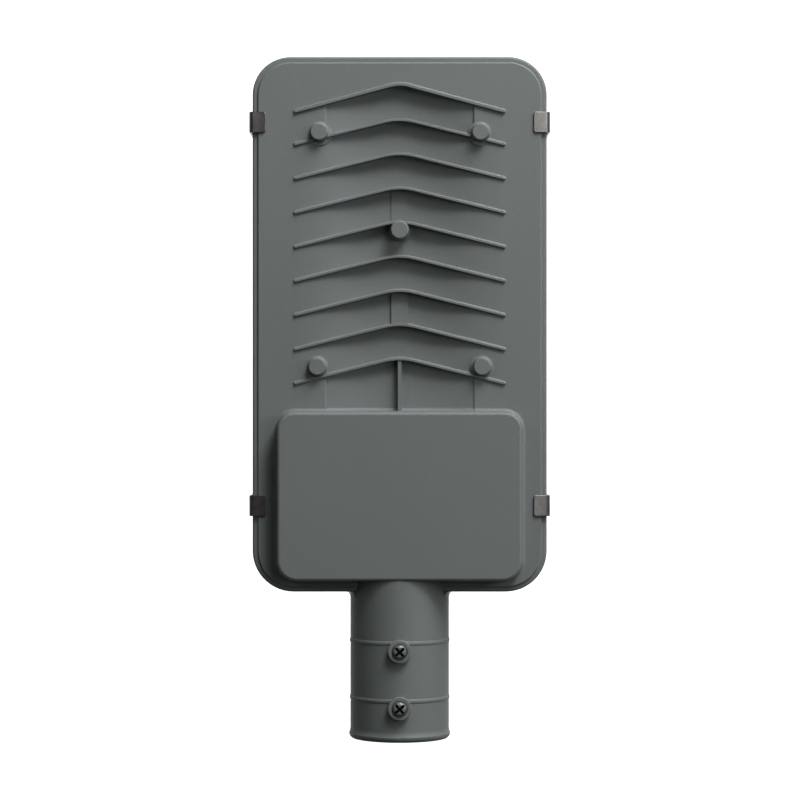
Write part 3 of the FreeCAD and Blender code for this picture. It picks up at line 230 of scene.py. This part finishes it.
MATS = {
    "casting": powder_coat(),
    "clip_steel": spring_steel(),
    "dark_screw": screw_steel(),
    "cover_glass": clear_glass(),
    "silicone": soft("silicone", (176, 178, 176), (190, 192, 190), 0.5, 0.65, 500.0),
    "thermal_sheet": soft("thermal_sheet", (134, 142, 152), (150, 158, 168), 0.6, 0.75, 700.0),
    "board": soft("board_coating", (226, 228, 224), (236, 238, 234), 0.3, 0.42, 900.0),
    "chip": soft("chip_phosphor", (226, 190, 74), (238, 206, 92), 0.35, 0.5, 900.0),
    "lens": lens_plastic(),
    "driver_case": metal("driver_case", (186, 188, 190), (204, 206, 208), 0.32, 0.46, 120.0, (1.0, 20.0, 1.0)),
    "terminal_plastic": soft("terminal_plastic", (40, 42, 44), (50, 52, 54), 0.45, 0.6, 900.0),
    "zinc_screw": metal("zinc_screw", (180, 184, 188), (206, 208, 210), 0.22, 0.36, 500.0),
    "brass_lug": metal("brass_lug", (196, 164, 96), (214, 184, 116), 0.25, 0.4, 500.0),
    "gland_plastic": soft("gland_plastic", (20, 20, 21), (30, 30, 31), 0.4, 0.55, 800.0),
    "gland_rubber": soft("gland_rubber", (30, 30, 30), (38, 38, 38), 0.6, 0.75, 800.0),
    "white_plate": soft("white_plate", (224, 224, 220), (234, 234, 230), 0.4, 0.55, 900.0),
    "lead_red": soft("lead_red", (170, 26, 22), (186, 34, 28), 0.35, 0.5, 900.0),
    "lead_black": soft("lead_black", (18, 18, 18), (26, 26, 26), 0.35, 0.5, 900.0),
    "lead_brown": soft("lead_brown", (92, 52, 28), (106, 62, 34), 0.35, 0.5, 900.0),
    "lead_blue": soft("lead_blue", (24, 60, 150), (32, 70, 166), 0.35, 0.5, 900.0),
    "lead_green": soft("lead_green", (70, 140, 34), (176, 190, 40), 0.35, 0.5, 120.0),
}
slots = {s["node"]: s["material_slot"] for s in frame["record"]["subparts"]}
for name, obj in nodes.items():
    mat = MATS[slots[name]]
    if obj.material_slots:
        for s in obj.material_slots:
            s.material = mat
    else:
        obj.data.materials.append(mat)

# ---------------------------------------------------------------- stage, light
# a wide pale floor far below that glows: a painted pool of light, its emission brightest right under the
# object
floor_mesh = bpy.data.meshes.new("floor")
bm = bmesh.new()
bmesh.ops.create_grid(bm, x_segments=1, y_segments=1, size=60.0)
bm.to_mesh(floor_mesh)
bm.free()
floor = bpy.data.objects.new("floor", floor_mesh)
floor.location = (0, 0.2, -2.2)
bpy.context.scene.collection.objects.link(floor)
fm = Mat("floor_white")
fm.set(Base_Color=(0.86, 0.86, 0.86, 1), Roughness=0.9)
away = fm.node("ShaderNodeVectorMath", operation="LENGTH")
fm.link(fm.coord.outputs["Object"], away.inputs[0])
# painted light: the floor emits, strongest under the object and fading with distance from it
fm.bsdf.inputs["Emission Color"].default_value = (1, 1, 1, 1)
fm.link(fm.spread(away.outputs["Value"], 1.0, 0.14, 0.85, 2.4), fm.bsdf.inputs["Emission Strength"])
floor.data.materials.append(fm.mat)


def area(name, direction, distance, size, power, color=(1, 1, 1), target=(0, 0.2, 0)):
    """Area light on a direction given as (azimuth from +Y towards +X, elevation)."""
    az, el = math.radians(direction[0]), math.radians(direction[1])
    d = Vector((math.sin(az) * math.cos(el), math.cos(az) * math.cos(el), math.sin(el)))
    data = bpy.data.lights.new(name, "AREA")
    data.shape = "RECTANGLE"
    data.size, data.size_y = size
    data.energy = power
    data.color = color
    o = bpy.data.objects.new(name, data)
    o.location = Vector(target) + d * distance
    o.rotation_mode = "QUATERNION"
    o.rotation_quaternion = (-d).to_track_quat("-Z", "Y")
    o.visible_camera = False
    bpy.context.scene.collection.objects.link(o)
    return o


# a soft key from ahead and a little right, near and far together, weak side and top
# fills, and two lights below for the glass side
area("key_near", (10, 30), 1.25, (0.3, 0.3), 3.5)
area("key_near_right", (30, 31), 1.25, (0.3, 0.3), 2.7)
area("key_mid", (24, 25), 2.4, (0.7, 0.7), 21.0)
area("key_high", (26, 38), 2.4, (0.7, 0.7), 10.6)
area("key_low", (20, 12), 2.4, (0.7, 0.7), 12.2)
area("front_side", (40, 12), 2.4, (0.7, 0.7), 7.8)
area("side_low", (70, 14), 2.4, (0.7, 0.7), 4.6)
area("side_near", (75, 34), 1.25, (0.3, 0.4), 2.2)
area("right_top", (80, 60), 2.4, (0.8, 0.8), 5.2)
area("left", (-60, 42), 2.4, (0.7, 0.7), 4.0)
area("under_rear", (180, -72), 2.15, (0.6, 0.6), 12.0)
area("under_nose", (0, -72), 2.15, (0.6, 0.6), 10.0)

world = bpy.data.worlds.new("studio")
bpy.context.scene.world = world
world.use_nodes = True
bg = world.node_tree.nodes["Background"]
bg.inputs[0].default_value = (1, 1, 1, 1)
bg.inputs[1].default_value = 0.024

# --------------------------------------------------------------------- camera
cam_data = bpy.data.cameras.new("camera")
cam_data.lens = 117.0
cam_data.sensor_width = 36.0
cam_data.clip_start = 0.05
cam_data.clip_end = 30.0
cam = bpy.data.objects.new("camera", cam_data)
cam.location = (0.0002, 0.1983, 1.531)
cam.rotation_euler = (0, 0, 0)
bpy.context.scene.collection.objects.link(cam)
bpy.context.scene.camera = cam
bpy.context.scene.view_settings.view_transform = "Standard"
bpy.context.scene.view_settings.look = "None"
